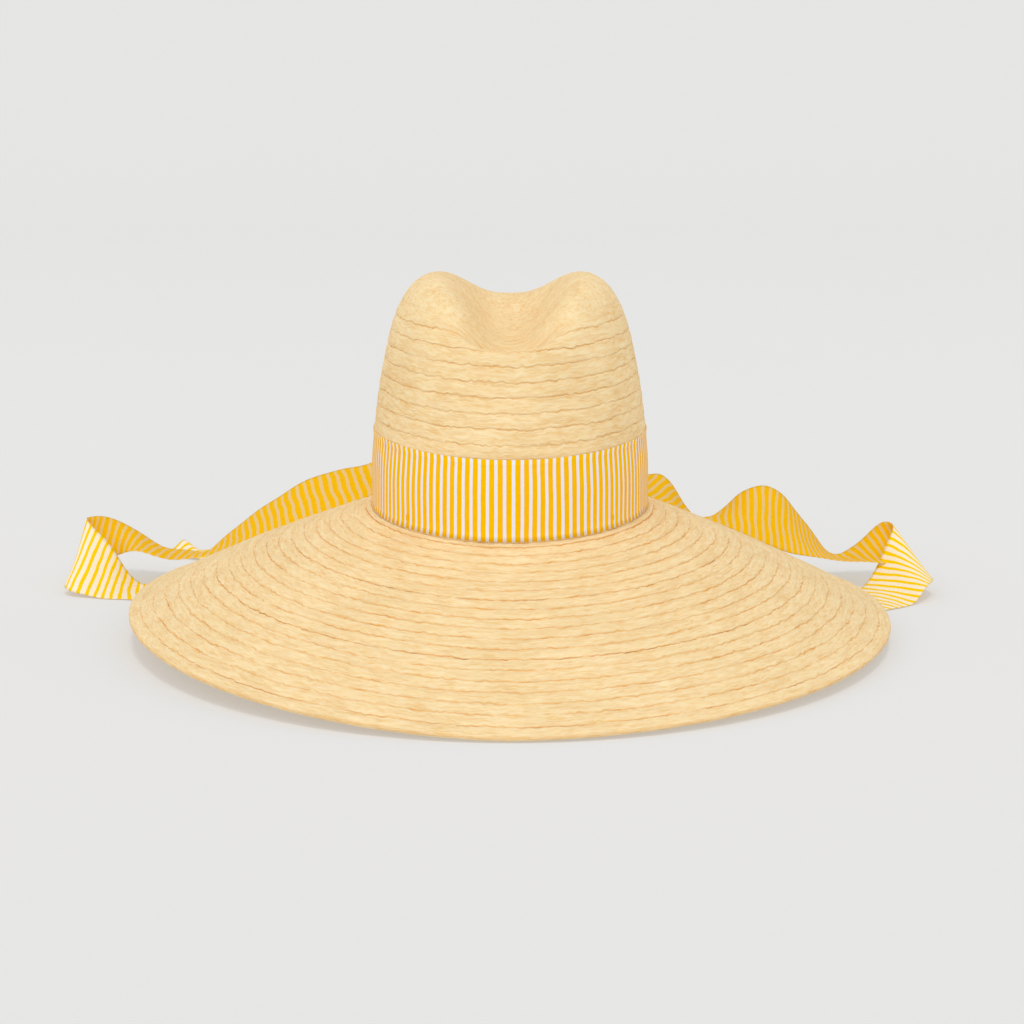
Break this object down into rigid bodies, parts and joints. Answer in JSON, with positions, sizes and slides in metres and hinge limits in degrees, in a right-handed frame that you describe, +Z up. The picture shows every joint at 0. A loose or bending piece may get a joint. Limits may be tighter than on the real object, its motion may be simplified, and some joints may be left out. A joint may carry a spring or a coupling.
{
  "type": "straw sun hat",
  "caption": "Wide-brimmed straw sun hat with a dented fedora crown, striped ribbon band and long ribbon tails.",
  "frame": {"origin": "on the surface the hat stands on, under the middle of the head opening, which is within 4 mm of the middle of the whole object's box", "axes": "+X along the long direction with the two ribbon tails, to the right when the hat's front is seen; -Y towards the front of the hat; +Z up through the crown"},
  "size_m": [0.5688, 0.5, 0.2225],
  "materials": {
    "straw": "matt plaited straw braid, pale golden, sewn in lapped rows",
    "ribbon": "satin ribbon with narrow yellow and white stripes across its width",
    "sweatband": "matt cream grosgrain",
    "thread": "matt sewing thread",
    "label": "woven satin, blank",
    "wire": "drawn spring wire",
    "ferrule": "plain crimped tube"
  },
  "bodies": {
    "root": {"crown_tip": "straw", "crown_side": "straw", "brim": "straw", "brim_edge_row": "straw", "brim_wire": "wire", "wire_joiner": "ferrule", "hat_band": "ribbon", "band_tacks": "thread", "ribbon_knot": "ribbon", "ribbon_tail_left": "ribbon", "ribbon_tail_right": "ribbon", "sweatband": "sweatband", "sweatband_stitches": "thread", "inside_label": "label"}
  },
  "joints": []
}
